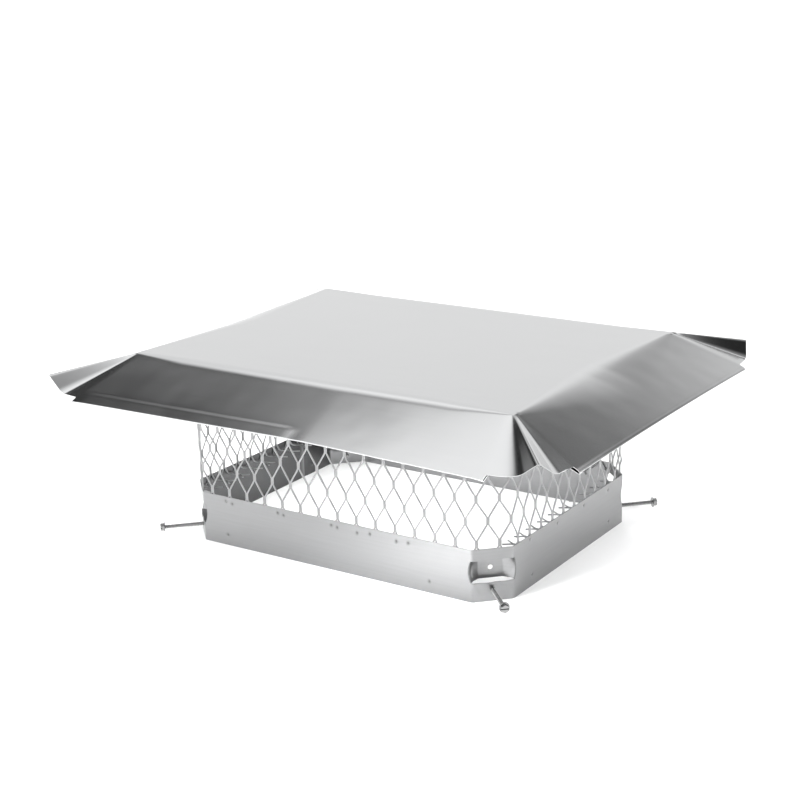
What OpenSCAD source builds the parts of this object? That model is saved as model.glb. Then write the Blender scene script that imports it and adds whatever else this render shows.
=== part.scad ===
// Bolt-on chimney cap for a rectangular clay flue: one folded sheet lid, a box of
// expanded metal mesh, a base band with cut corners and four clamp screws.
// Millimetres, +Z up, the band stands on z = 0 and its long side runs along X.

/* [Base band] */
// Outside length of the band along X
band_l = 398; // [330:1:480]
// Outside width of the band along Y
band_w = 300; // [250:1:360]
// Height of the band
band_h = 55; // [53:1:75]
// Thickness of the band's sheet
band_t = 0.8; // [0.5:0.1:1.2]
// Leg of the flat that is folded across each corner
corner_leg = 30; // [28:1:40]
// Length over which the two ends of the band overlap
lap_l = 24; // [12:1:40]
// Distance of the lap's inner seam from the middle of the left wall
lap_y = 68; // [40:1:75]

/* [Corner straps] */
// Height of the lower cut of the strap above the ground
strap_z = 20; // [17:0.5:21]
// Height of the strap between its two cuts
strap_h = 23; // [14:0.5:23.5]
// How far the strap is pressed inward
strap_depth = 10; // [5:0.5:14]
// Width of the strap's flat back
strap_back_w = 24; // [16:0.5:26]
// Width of each cut above and below the strap
strap_slit = 0.5; // [0.3:0.1:1]
// Diameter of the spare hole in the strap
strap_hole_d = 5; // [3:0.1:8]

/* [Clamp screws] */
// Diameter of the screw's shank over the thread
screw_d = 4.8; // [3.5:0.1:6]
// Length under the head
screw_l = 51; // [40:1:70]
// Distance from the band's corner face to the underside of the head
screw_out = 42; // [20:1:45]
// Height of the screws above the ground
screw_z = 11; // [8:0.5:12]
// Diameter of the washer face
washer_d = 11; // [8:0.1:13]
// Thickness of the washer face
washer_t = 1; // [0.6:0.1:2]
// Width of the hexagon across its flats
hex_af = 8; // [6:0.1:9]
// Height of the hexagon
hex_h = 4; // [3:0.1:6]
// Width of the driver slot
slot_w = 1.3; // [0.8:0.1:2]
// Depth of the driver slot
slot_d = 1.6; // [0.8:0.1:2.5]
// Length of the screw's tapered point
tip_l = 3; // [1:0.5:4]
// Diameter of the flat at the end of the tapered point
tip_d = 3; // [2:0.1:3.4]
// Gap round the shank in its hole
screw_gap = 0.05; // [0.02:0.01:0.1]

/* [Mesh] */
// Thickness of the expanded metal sheet
mesh_t = 1.2; // [0.8:0.1:2]
// Wanted width of one diamond, which is fitted to the way round
diamond_w = 23.44; // [16:0.1:30]
// Height of one diamond from knuckle to knuckle
diamond_h = 46.4; // [34:0.2:60]
// Length of a knuckle, where two strands run together
knuckle_l = 9; // [5:0.5:12]
// Width of a strand measured level
strand_w = 2.2; // [1.4:0.1:3]
// Height of the lowest row of knuckles above the band's top edge
knuckle_up = 5; // [0:0.5:8]
// How far below the band's top edge the inward shelf lies
shelf_drop = 9; // [6:0.5:11]
// Width of the shelf that sits on the flue
shelf_w = 22; // [14:1:32]
// Width of the flange that is turned in under the lid
flange_w = 42; // [30:1:50]
// How far each end of the flange is cut back along the wall
flange_cut = 18; // [12:1:26]
// How far the middle of the front wall's pattern stands to the left
pattern_shift = 3.2; // [0:0.1:10]

/* [Lid] */
// Height of the lid's top face above the ground
lid_top = 208; // [190:1:240]
// Length over the hems along X
lid_l = 616; // [590:1:680]
// Width over the hems along Y
lid_w = 506; // [480:1:560]
// Length of the flat top along X
flat_l = 460; // [440:1:490]
// Width of the flat top along Y
flat_w = 343; // [325:1:370]
// Drop from the top face to the hems' outer edges
lid_drop = 35.5; // [25:0.5:50]
// Thickness of the lid's sheet
lid_t = 0.6; // [0.4:0.1:1.2]
// Radius of the soft bend round the flat top
bend_r = 45; // [15:1:60]
// Length of the front and back hems
hem_long = 498; // [460:1:520]
// Length of the side hems
hem_short = 382; // [350:1:400]
// Width of the hem's folded-under leaf
hem_w = 15; // [9:0.5:20]
// Open gap inside the hem
hem_gap = 1.2; // [0.6:0.1:2]
// How far the corner's cut edge lies inside the hem's outer edge
ear_in = 7; // [5:0.5:12]
// The same at the pleat's valleys
valley_in = 10; // [7:0.5:14]
// Distance of the valley's outer end past the corner of the flat top
valley_out = 42; // [36:1:48]
// Distance of the ridge's tip inside both hem lines
ridge_in = 16.5; // [13:0.5:20]
// Height of the ridge's tip above the hems' outer edges
ridge_up = 18; // [10:0.5:24]
// Rise of the front edge at its kink
front_rise = 4.2; // [0:0.2:6]
// Place of the front edge's kink right of the middle
front_kink = 45; // [0:5:100]
// Rise in the middle of the other three edges
side_rise = 2; // [0:0.2:5]

/* [Hidden] */
$fn = 48;

// Corners of the band as the signs of x and y, anticlockwise from the front right
corners = [[1, -1], [1, 1], [-1, 1], [-1, -1]];
// Extra length that lets a cutter pass right through a sheet
cut_over = 1;
// Sheet left at each end of a strap, where it joins the walls
strap_root = 1;

// An octagon's corner leg once its walls have moved in by d
function inner_leg(d) = corner_leg - d * (2 - sqrt(2));
function flat_len(d) = inner_leg(d) * sqrt(2);

// Band

module octagon_plate(d) {
  x = band_l / 2 - d;
  y = band_w / 2 - d;
  leg = inner_leg(d);
  polygon([
    [x - leg, -y], [x, -y + leg], [x, y - leg], [x - leg, y],
    [-x + leg, y], [-x, y - leg], [-x, -y + leg], [-x + leg, -y]
  ]);
}

// Puts its children on corner i, with X outward and Y along the corner's flat
module at_corner(i) {
  s = corners[i];
  translate([s[0] * (band_l - corner_leg) / 2, s[1] * (band_w - corner_leg) / 2, 0])
    rotate([0, 0, atan2(s[1], s[0])])
      children();
}

// The strap's plan: from one bend line inward, along its back and out again
module strap_plan() {
  b = flat_len(0) / 2 - strap_root;
  a = b + strap_root / 2;
  c = strap_back_w / 2;
  d = strap_depth;
  t = band_t;
  polygon([
    [0, -a], [0, -b], [-d, -c], [-d, c], [0, b], [0, a],
    [-t, a], [-t, b - t / 2], [-d - t, c + t / 2], [-d - t, -c - t / 2], [-t, -b + t / 2], [-t, -a]
  ]);
}

module corner_cuts() {
  opening = flat_len(0) - 2 * strap_root;
  translate([-band_t - cut_over, -opening / 2, strap_z])
    cube([band_t + 2 * cut_over, opening, strap_h]);
  translate([-band_t - cut_over, 0, screw_z])
    rotate([0, 90, 0])
      cylinder(d = screw_d + 2 * screw_gap, h = band_t + 2 * cut_over);
}

module corner_strap() {
  difference() {
    translate([0, 0, strap_z + strap_slit])
      linear_extrude(strap_h - 2 * strap_slit)
        strap_plan();
    translate([-strap_depth - band_t - cut_over, 0, strap_z + strap_h / 2])
      rotate([0, 90, 0])
        cylinder(d = strap_hole_d, h = band_t + 2 * cut_over);
  }
}

// The strip's outer end runs past its inner end by the lap, on the left wall's outside
module lap_plate() {
  translate([-band_l / 2 - band_t, lap_y - lap_l, 0])
    cube([band_t, lap_l + 2 * band_t, band_h]);
}

module base_band() {
  color([0.72, 0.73, 0.74]) {
    difference() {
      linear_extrude(band_h)
        difference() {
          octagon_plate(0);
          octagon_plate(band_t);
        }
      for (i = [0:3])
        at_corner(i)
          corner_cuts();
      translate([-band_l / 2 - cut_over, lap_y, -cut_over])
        cube([band_t + 2 * cut_over, band_t, band_h + 2 * cut_over]);
    }
    for (i = [0:3])
      at_corner(i)
        corner_strap();
    lap_plate();
  }
}

// Clamp screws

module clamp_screw() {
  color([0.78, 0.79, 0.80])
    rotate([0, 90, 0])
      difference() {
        union() {
          cylinder(d = washer_d, h = washer_t);
          translate([0, 0, washer_t])
            cylinder(d = hex_af / cos(30), h = hex_h, $fn = 6);
          translate([0, 0, tip_l - screw_l])
            cylinder(d = screw_d, h = screw_l - tip_l);
          translate([0, 0, -screw_l])
            cylinder(d1 = tip_d, d2 = screw_d, h = tip_l);
        }
        translate([-slot_w / 2, -washer_d / 2, washer_t + hex_h - slot_d])
          cube([slot_w, washer_d, slot_d + cut_over]);
      }
}

module placed_screw(i) {
  at_corner(i)
    translate([screw_out, 0, screw_z])
      clamp_screw();
}

module clamp_screw_front_right() { placed_screw(0); }
module clamp_screw_back_right() { placed_screw(1); }
module clamp_screw_back_left() { placed_screw(2); }
module clamp_screw_front_left() { placed_screw(3); }

// Mesh: the pattern is laid out on the unrolled strip, s level along it and v up it

mesh_long = band_l - 2 * band_t - 2 * inner_leg(band_t);
mesh_short = band_w - 2 * band_t - 2 * inner_leg(band_t);
mesh_corner = flat_len(band_t);
way_round = 2 * (mesh_long + mesh_short) + 4 * mesh_corner;
diamonds_round = round(way_round / diamond_w);
pitch = way_round / diamonds_round;
row_h = diamond_h / 2;
mesh_foot = band_h - shelf_drop;
mesh_head = lid_top - lid_t;
first_row = band_h + knuckle_up;
// Level distance from a knuckle's middle to the strip's start, at the front wall's left end
phase = mesh_long / 2 - pattern_shift - pitch / 2;

// One diamond opening round its middle, with upright sides beside the knuckles
function diamond(s, v) =
  let (
    a = pitch / 2 - strand_w,
    k = knuckle_l / 2,
    tip = row_h - k
  )
  [[s, v - tip], [s + a, v - k], [s + a, v + k], [s, v + tip], [s - a, v + k], [s - a, v - k]];

// Middles of the openings that reach into the window s0..s1 by v0..v1 of the strip
function middles(s0, s1, v0, v1) = [
  for (j = [floor((v0 - first_row) / row_h) : ceil((v1 - first_row) / row_h)])
    for (i = [floor((s0 - phase) / pitch) - 1 : ceil((s1 - phase) / pitch) + 1])
      let (
        s = phase + pitch * (i + (j % 2 == 0 ? 0.5 : 0)),
        v = first_row + row_h * j
      )
      if (s + pitch / 2 - strand_w > s0 && s - pitch / 2 + strand_w < s1
        && v + row_h - knuckle_l / 2 > v0 && v - row_h + knuckle_l / 2 < v1)
        [s, v]
];

// All openings of one window as a single outline with many loops
module openings(s0, s1, v0, v1) {
  mids = middles(s0, s1, v0, v1);
  polygon(
    points = [for (m = mids) each diamond(m[0], m[1])],
    paths = [for (i = [0 : len(mids) - 1]) [for (k = [0:5]) 6 * i + k]]
  );
}

// A flat panel of the strip. Its start lies at s0 and its outline is cut to the given shape
module mesh_panel(s0, length, v0, v1, cut0 = 0, cut1 = 0) {
  over = mesh_t * tan(22.5);
  linear_extrude(mesh_t)
    difference() {
      polygon([
        [s0 - over + cut0, v0], [s0 + length + over - cut0, v0],
        [s0 + length + over - cut1, v1], [s0 - over + cut1, v1]
      ]);
      openings(s0 - over, s0 + length + over, v0, v1);
    }
}

// Puts its children on wall i with local X along the wall, Y up and Z inward
module on_wall(i, length, away) {
  rotate([0, 0, 90 * i])
    translate([-length / 2, -away, 0])
      rotate([90, 0, 0])
        mirror([0, 0, 1])
          children();
}

// One straight wall with its shelf and its flange, which turn inward at its foot and head
module mesh_wall(i, s0, length, away) {
  on_wall(i, length, away)
    translate([-s0, 0, 0])
      mesh_panel(s0, length, mesh_foot, mesh_head);
  rotate([0, 0, 90 * i])
    translate([-length / 2 - s0, -away + mesh_foot, mesh_foot])
      mirror([0, 1, 0])
        mesh_panel(s0, length, mesh_foot - shelf_w, mesh_foot, shelf_w / 2, 0);
  rotate([0, 0, 90 * i])
    translate([-length / 2 - s0, -away - mesh_head, mesh_head - mesh_t])
      mesh_panel(s0, length, mesh_head, mesh_head + flange_w, 0, flange_cut);
}

module mesh_corner_wall(i, s0) {
  s = corners[i];
  leg = inner_leg(band_t);
  translate([s[0] * (band_l / 2 - band_t - leg / 2), s[1] * (band_w / 2 - band_t - leg / 2), 0])
    rotate([0, 0, atan2(s[1], s[0]) + 90])
      translate([-mesh_corner / 2 - s0, 0, 0])
        rotate([90, 0, 0])
          mirror([0, 0, 1])
            mesh_panel(s0, mesh_corner, mesh_foot, mesh_head);
}

// Where each wall starts on the unrolled strip
start_right = mesh_long + mesh_corner;
start_back = start_right + mesh_short + mesh_corner;
start_left = start_back + mesh_long + mesh_corner;

module mesh_screen() {
  color([0.80, 0.81, 0.82]) {
    mesh_wall(0, 0, mesh_long, band_w / 2 - band_t);
    mesh_wall(1, start_right, mesh_short, band_l / 2 - band_t);
    mesh_wall(2, start_back, mesh_long, band_w / 2 - band_t);
    mesh_wall(3, start_left, mesh_short, band_l / 2 - band_t);
    mesh_corner_wall(0, start_right - mesh_corner);
    mesh_corner_wall(1, start_back - mesh_corner);
    mesh_corner_wall(2, start_left - mesh_corner);
    mesh_corner_wall(3, start_left + mesh_short);
  }
}

// Lid: one sheet drawn as spokes that run from the flat top out to the edge. Side i is
// worked out in its own frame, u along the side and w outward, then turned by i quarters

long_side_steps = 12;
short_side_steps = 10;
bend_steps = 4;
fold_steps = 4;
// Radius that rounds the flat top's corner, and the bend's reach there
corner_r = 6;
corner_reach = 3;
// Length along the side over which the bend tightens towards the corner
bend_fade = 60;

function side_half(i) = (i % 2 == 0 ? flat_l : flat_w) / 2;
function side_away(i) = (i % 2 == 0 ? flat_w : flat_l) / 2;
function side_run(i) = (i % 2 == 0 ? lid_w - flat_w : lid_l - flat_l) / 2;
function hem_half(i) = (i % 2 == 0 ? hem_long : hem_short) / 2;
function side_steps(i) = i % 2 == 0 ? long_side_steps : short_side_steps;

// Local [u, w, z] of side i to the part's frame
function placed(i, p) =
  let (a = 90 * i)
  [p[0] * cos(a) + p[1] * sin(a), p[0] * sin(a) - p[1] * cos(a), p[2]];

// Rise of the hem line at u, as a kink in front and a bow on the other sides
function rise(i, u) =
  i == 0
    ? front_rise * min((hem_half(0) + u) / (hem_half(0) + front_kink),
        (hem_half(0) - u) / (hem_half(0) - front_kink))
    : side_rise * (1 - pow(u / hem_half(i), 2));

function mix(a, b, k) = a + (b - a) * k;
function bezier(a, b, c, k) = mix(mix(a, b, k), mix(b, c, k), k);

// Points of one spoke: the bend as a curve from the flat, then straight to the outer end
function spoke(inward, edge, outer, reach) =
  let (
    along = (outer - edge) / norm(outer - edge),
    start = edge + inward * reach,
    finish = edge + along * reach
  )
  [
    for (k = [0:bend_steps]) bezier(start, edge, finish, k / bend_steps),
    mix(finish, outer, 0.5),
    outer
  ];

// Slope of side i at u, as a drop over a run
function drop_at(i, u) = lid_drop - rise(i, u);
function slope_at(i, u) = atan(drop_at(i, u) / side_run(i));

function reach_at(i, u) =
  let (
    full = bend_r * tan(slope_at(i, 0) / 2),
    left = side_half(i) - corner_r - abs(u)
  )
  mix(corner_reach, full, min(1, left / bend_fade));

// Spoke k of side i, ending on the line of the corner's cut edge
function side_spoke(i, k) =
  let (
    part = 2 * k / side_steps(i) - 1,
    u_in = part * (side_half(i) - corner_r),
    u_out = part * hem_half(i),
    z_out = lid_top - drop_at(i, u_out) * (1 - ear_in / side_run(i)),
    pts = spoke([0, -1, 0], [u_in, side_away(i), lid_top],
      [u_out, side_away(i) + side_run(i) - ear_in, z_out], reach_at(i, u_in))
  )
  [for (p = pts) placed(i, p)];

// Outer ends of the pleat between side i and the next, in side i's frame
function valley_end(i) =
  [side_half(i) + valley_out, side_away(i) + side_run(i) - valley_in,
    lid_top - lid_drop * (1 - valley_in / side_run(i)) + 1];
function ridge_end(i) =
  [side_half(i) + side_run(i + 1) - ridge_in, side_away(i) + side_run(i) - ridge_in,
    lid_top - lid_drop + ridge_up];
function ear_start(i) =
  [hem_half(i), side_away(i) + side_run(i) - ear_in,
    lid_top - lid_drop * (1 - ear_in / side_run(i))];
// The next side's valley and ear, still in side i's frame
function far_valley(i) =
  [side_half(i) + side_run(i + 1) - valley_in, side_away(i) + valley_out,
    lid_top - lid_drop * (1 - valley_in / side_run(i + 1)) + 1];
function far_ear(i) =
  [side_half(i) + side_run(i + 1) - ear_in, hem_half(i + 1),
    lid_top - lid_drop * (1 - ear_in / side_run(i + 1))];

// The ear's edge between the two hems, from side i to the next
function ear_ends(i) = [
  mix(ear_start(i), valley_end(i), 0.5),
  valley_end(i),
  mix(valley_end(i), ridge_end(i), 0.5) - [0, 0, 1],
  ridge_end(i),
  mix(ridge_end(i), far_valley(i), 0.5) - [0, 0, 1],
  far_valley(i),
  mix(far_valley(i), far_ear(i), 0.5)
];

function corner_spokes(i) =
  let (ends = ear_ends(i), n = len(ends))
  [
    for (k = [0 : n - 1])
      let (
        a = 90 * (k + 1) / (n + 1),
        out = [sin(a), cos(a), 0],
        mid = [side_half(i) - corner_r, side_away(i) - corner_r, lid_top],
        pts = spoke(-out, mid + corner_r * out, ends[k], corner_reach)
      )
      [for (p = pts) placed(i, p)]
  ];

// The hem of one spoke in its own upright plane: round the fold and back underneath
function hem_chain(i, k, radius) =
  let (
    part = 2 * k / side_steps(i) - 1,
    u = part * hem_half(i),
    a = slope_at(i, u),
    down = [0, cos(a), -sin(a)],
    up = [0, sin(a), cos(a)],
    fold_r = lid_t + hem_gap / 2,
    w = side_away(i) + side_run(i) - fold_r,
    mid = [u, w, lid_top - tan(a) * (w - side_away(i)) - fold_r / cos(a)]
  )
  [
    for (f = [0:fold_steps])
      let (b = 90 - 180 * f / fold_steps)
      placed(i, mid + radius * (sin(b) * up + cos(b) * down)),
    placed(i, mid - radius * up - down * (hem_w - fold_r))
  ];

corner_count = len(ear_ends(0));
point_count = bend_steps + 3;
chain_count = fold_steps + 2;

// Every spoke in turn: side 0, its corner, side 1 and so on
spokes = [
  for (i = [0:3]) each concat(
    [for (k = [0 : side_steps(i)]) side_spoke(i, k)],
    corner_spokes(i)
  )
];
spoke_count = len(spokes);
function first_spoke(i) =
  i == 0 ? 0 : first_spoke(i - 1) + side_steps(i - 1) + 1 + corner_count;

hems = [for (i = [0:3]) each [for (k = [0 : side_steps(i)])
  [hem_chain(i, k, lid_t + hem_gap / 2), hem_chain(i, k, hem_gap / 2)]]];
function first_hem(i) = i == 0 ? 0 : first_hem(i - 1) + side_steps(i - 1) + 1;

upper = [for (s = spokes) each s];
lower = [for (p = upper) p - [0, 0, lid_t]];
hem_outside = [for (h = hems) each h[0]];
hem_inside = [for (h = hems) each h[1]];
lower_at = len(upper);
outside_at = 2 * lower_at;
inside_at = outside_at + len(hem_outside);
top_at = inside_at + len(hem_inside);

// Index of point j of spoke k on the upper face, and of point m of hem spoke h outside
function up_i(k, j) = (k % spoke_count) * point_count + j;
function low_i(k, j) = lower_at + up_i(k, j);
function out_i(h, m) = outside_at + h * chain_count + m;
function in_i(h, m) = inside_at + h * chain_count + m;

function quad(a, b, c, d) = [[a, b, c], [a, c, d]];

sheet_faces = [
  for (k = [0 : spoke_count - 1]) each concat(
    [for (j = [0 : point_count - 2]) each quad(
      up_i(k, j), up_i(k + 1, j), up_i(k + 1, j + 1), up_i(k, j + 1))],
    [for (j = [0 : point_count - 2]) each quad(
      low_i(k, j), low_i(k, j + 1), low_i(k + 1, j + 1), low_i(k + 1, j))],
    [[top_at, up_i(k + 1, 0), up_i(k, 0)], [top_at + 1, low_i(k, 0), low_i(k + 1, 0)]]
  )
];

// Cut edges of the corner ears
last = point_count - 1;
ear_faces = [
  for (i = [0:3])
    for (k = [first_spoke(i) + side_steps(i) : first_spoke(i) + side_steps(i) + corner_count])
      each quad(up_i(k, last), up_i(k + 1, last), low_i(k + 1, last), low_i(k, last))
];

// Between spokes k and k + 1 of a side: the fold, its lining and the leaf's free edge
hem_faces = [
  for (i = [0:3])
    for (k = [0 : side_steps(i) - 1])
      let (s = first_spoke(i) + k, h = first_hem(i) + k)
      each concat(
        quad(up_i(s, last), up_i(s + 1, last), out_i(h + 1, 0), out_i(h, 0)),
        quad(low_i(s + 1, last), low_i(s, last), in_i(h, 0), in_i(h + 1, 0)),
        [for (m = [0 : chain_count - 2]) each quad(
          out_i(h, m), out_i(h + 1, m), out_i(h + 1, m + 1), out_i(h, m + 1))],
        [for (m = [0 : chain_count - 2]) each quad(
          in_i(h + 1, m), in_i(h, m), in_i(h, m + 1), in_i(h + 1, m + 1))],
        quad(out_i(h, chain_count - 1), out_i(h + 1, chain_count - 1),
          in_i(h + 1, chain_count - 1), in_i(h, chain_count - 1))
      )
];

// The square-cut ends of a hem, at spoke s and hem spoke h
function hem_end(s, h) = concat(
  quad(up_i(s, last), out_i(h, 0), in_i(h, 0), low_i(s, last)),
  [for (m = [0 : chain_count - 2]) each quad(
    out_i(h, m), out_i(h, m + 1), in_i(h, m + 1), in_i(h, m))]
);
function turned(faces) = [for (f = faces) [f[2], f[1], f[0]]];
end_faces = [
  for (i = [0:3]) each concat(
    turned(hem_end(first_spoke(i) + side_steps(i), first_hem(i) + side_steps(i))),
    hem_end(first_spoke(i), first_hem(i))
  )
];

module lid() {
  color([0.82, 0.83, 0.84])
    polyhedron(
      points = concat(upper, lower, hem_outside, hem_inside,
        [[0, 0, lid_top], [0, 0, lid_top - lid_t]]),
      faces = concat(sheet_faces, ear_faces, hem_faces, end_faces),
      convexity = 6
    );
}

lid();
mesh_screen();
base_band();
clamp_screw_front_right();
clamp_screw_back_right();
clamp_screw_back_left();
clamp_screw_front_left();
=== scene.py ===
import math

import bpy
import numpy as np
from mathutils import Matrix, Vector


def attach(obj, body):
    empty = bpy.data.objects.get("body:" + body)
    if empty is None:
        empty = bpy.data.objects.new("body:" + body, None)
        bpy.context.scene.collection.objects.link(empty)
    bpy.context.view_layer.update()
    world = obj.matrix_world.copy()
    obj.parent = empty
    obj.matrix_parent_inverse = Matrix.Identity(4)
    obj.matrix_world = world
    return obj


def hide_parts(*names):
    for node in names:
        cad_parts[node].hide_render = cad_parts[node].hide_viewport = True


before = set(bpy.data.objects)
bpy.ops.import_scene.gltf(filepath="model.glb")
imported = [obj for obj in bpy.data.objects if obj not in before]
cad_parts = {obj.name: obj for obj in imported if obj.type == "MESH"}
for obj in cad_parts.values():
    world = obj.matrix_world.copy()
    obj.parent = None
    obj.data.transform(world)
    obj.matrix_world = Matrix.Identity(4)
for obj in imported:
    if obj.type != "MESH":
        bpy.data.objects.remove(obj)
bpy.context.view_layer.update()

# Lengths below are in millimetres, and every mesh is scaled to metres when it is made
MM = 0.001

# Base band
BAND_L, BAND_W, BAND_H, BAND_T = 398.0, 300.0, 55.0, 0.8
CORNER_LEG = 30.0
BAND_BEND = 2.2
LAP_L, LAP_Y = 24.0, 68.0
STRAP_LOW, STRAP_HIGH, STRAP_SLIT = 20.0, 43.0, 0.5
STRAP_DEPTH, STRAP_BACK = 10.0, 24.0
STRAP_HOLE_R = 2.5

# Clamp screws
SCREW_R, SCREW_CORE_R, SCREW_L, SCREW_OUT, SCREW_Z = 2.4, 1.85, 51.0, 42.0, 11.0
THREAD_PITCH = 1.6
SCREW_GAP = 0.05
WASHER_R, WASHER_T = 5.5, 1.0
HEX_AF, HEX_H, SLOT_W, SLOT_D = 8.0, 4.0, 1.3, 1.6
TIP_L, TIP_R = 3.0, 1.5

# Mesh
MESH_T = 1.2
DIAMOND_W, DIAMOND_H = 23.44, 46.4
KNUCKLE_L, KNUCKLE_HALF, STRAND_W = 7.2, 0.92, 2.0
KNUCKLE_UP, SHELF_DROP, SHELF_W, SHELF_CUT = 5.0, 9.0, 22.0, 11.0
FLANGE_W, FLANGE_CUT = 42.0, 18.0
PATTERN_SHIFT = 3.2
# The front and back shelves lean down a little as they go in
SHELF_LEAN = 0.14

# Lid, 0.1 mm smaller on each side than the solid's nominal size, to stay inside its flat facets
LID_TOP, LID_L, LID_W = 208.0, 615.8, 505.8
FLAT_L, FLAT_W, LID_DROP, LID_T = 460.0, 343.0, 35.5, 0.5
# Bend radius at the front and back, and at the sides, with its shares on the flat and on the slope
BEND_R, BEND_SHARES = (55.0, 190.0), ((1.0, 1.0), (0.6, 1.3))
HEM_LONG, HEM_SHORT, HEM_W, HEM_GAP = 498.0, 382.0, 15.0, 0.15
# The front hem ends a little short of its right end, and each hem gapes at its ends
FRONT_END_CUT, HEM_FLARE, FLARE_L = 4.5, 1.5, 9.0
# The side slopes droop just before their folds: how far and over what width
HEM_DROOP, DROOP_W = (0.0, 1.2), 4.5
EAR_IN, VALLEY_IN, VALLEY_OUT, VALLEY_SIDE_OUT = 7.0, 10.0, 42.0, 45.5
VALLEY_SINK = 1.2
# Place of each ridge's tip inside both hem lines and above the hems, anticlockwise from front right
RIDGE_TIPS = ((16.5, 18.0), (18.0, 20.5), (16.5, 18.0), (13.8, 20.3))
FRONT_RISE, FRONT_KINK, SIDE_RISE = 4.2, 45.0, 2.0


def smooth(x):
    """Smooth step from 0 to 1."""
    x = np.clip(x, 0.0, 1.0)
    return x * x * (3.0 - 2.0 * x)


# Materials

# Slow waves in the sheet: about how many in a metre, and how far the roughness varies with them
WAVE_SCALE, GLOSS_SPREAD = 9.0, 0.08
# Faint weld marks on the lid's flat top, where the mesh is welded to it
TOP_SPOTS = ((107, -121), (60, -114), (13, -115), (-36.5, -107), (163.5, -48), (162, 94))
DIMPLE_R, DIMPLE_DEPTH = 3.0, 0.12


def node_of(tree, kind, **values):
    node = tree.nodes.new(kind)
    for key, value in values.items():
        setattr(node, key, value)
    return node


def noise(tree, vector, scale, detail):
    pattern = node_of(tree, "ShaderNodeTexNoise")
    pattern.inputs["Scale"].default_value = scale
    pattern.inputs["Detail"].default_value = detail
    tree.links.new(vector, pattern.inputs["Vector"])
    return pattern.outputs["Fac"]


def bump(tree, height, distance, below=None):
    """Surface raised by a height, on top of the bumps below it."""
    raised = node_of(tree, "ShaderNodeBump")
    raised.inputs["Strength"].default_value = 1.0
    raised.inputs["Distance"].default_value = distance
    tree.links.new(height, raised.inputs["Height"])
    if below is not None:
        tree.links.new(below, raised.inputs["Normal"])
    return raised.outputs["Normal"]


def dimples(tree, coords, spots):
    """Height that is -1 at the middle of each spot of the flat top and 0 away from them."""
    total = None
    for x, y in spots:
        away = node_of(tree, "ShaderNodeVectorMath", operation="DISTANCE")
        away.inputs[1].default_value = (x * MM, y * MM, LID_TOP * MM)
        tree.links.new(coords, away.inputs[0])
        pit = node_of(tree, "ShaderNodeMapRange", interpolation_type="SMOOTHSTEP")
        pit.inputs["From Min"].default_value = 0.0
        pit.inputs["From Max"].default_value = DIMPLE_R * MM
        pit.inputs["To Min"].default_value = -1.0
        pit.inputs["To Max"].default_value = 0.0
        tree.links.new(away.outputs["Value"], pit.inputs["Value"])
        if total is None:
            total = pit.outputs["Result"]
        else:
            add = node_of(tree, "ShaderNodeMath", operation="ADD")
            tree.links.new(total, add.inputs[0])
            tree.links.new(pit.outputs["Result"], add.inputs[1])
            total = add.outputs["Value"]
    return total


def tinted(tree, grain, colour, grain_tint, marks_and_shade_by):
    """The colour, varied by the grain and darkened where the mesh's attribute holds weld marks and
    painted shade.
    """
    link = tree.links.new
    tint = node_of(tree, "ShaderNodeMapRange")
    tint.inputs["To Min"].default_value = 1.0 - grain_tint
    tint.inputs["To Max"].default_value = 1.0 + grain_tint
    link(grain, tint.inputs["Value"])
    marks_and_shade = node_of(tree, "ShaderNodeAttribute", attribute_name="marks_and_shade")
    dim = node_of(tree, "ShaderNodeMath", operation="MULTIPLY_ADD")
    dim.inputs[1].default_value = -marks_and_shade_by
    dim.inputs[2].default_value = 1.0
    link(marks_and_shade.outputs["Fac"], dim.inputs[0])
    level = node_of(tree, "ShaderNodeMath", operation="MULTIPLY")
    link(tint.outputs["Result"], level.inputs[0])
    link(dim.outputs["Value"], level.inputs[1])
    shade = node_of(tree, "ShaderNodeVectorMath", operation="SCALE")
    shade.inputs[0].default_value = colour
    link(level.outputs["Value"], shade.inputs["Scale"])
    return shade.outputs["Vector"]


def steel(name, colour, roughness, grain, grain_tint, grain_bump, wave_bump, marks_and_shade_by=0.0, spots=()):
    """Rolled stainless sheet: fine grain along one axis, slow waves in the gloss and in the surface.

    The darkening argument is how much darker the sheet is where its attribute holds weld marks and
    painted shade, and spots are weld marks.
    """
    material = bpy.data.materials.new(name)
    material.use_nodes = True
    tree = material.node_tree
    link = tree.links.new
    shader = tree.nodes["Principled BSDF"]
    shader.inputs["Metallic"].default_value = 1.0
    coords = node_of(tree, "ShaderNodeTexCoord").outputs["Object"]
    stretch = node_of(tree, "ShaderNodeMapping")
    stretch.inputs["Scale"].default_value = grain
    link(coords, stretch.inputs["Vector"])
    fine = noise(tree, stretch.outputs["Vector"], 1.0, 5.0)
    slow = noise(tree, coords, WAVE_SCALE, 2.0)
    link(tinted(tree, fine, colour, grain_tint, marks_and_shade_by), shader.inputs["Base Color"])
    gloss = node_of(tree, "ShaderNodeMath", operation="MULTIPLY_ADD")
    gloss.inputs[1].default_value = GLOSS_SPREAD
    gloss.inputs[2].default_value = roughness - GLOSS_SPREAD / 2
    link(slow, gloss.inputs[0])
    link(gloss.outputs["Value"], shader.inputs["Roughness"])
    surface = bump(tree, fine, grain_bump, bump(tree, slow, wave_bump))
    if spots:
        surface = bump(tree, dimples(tree, coords, spots), DIMPLE_DEPTH * MM, surface)
    link(surface, shader.inputs["Normal"])
    return material


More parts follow.
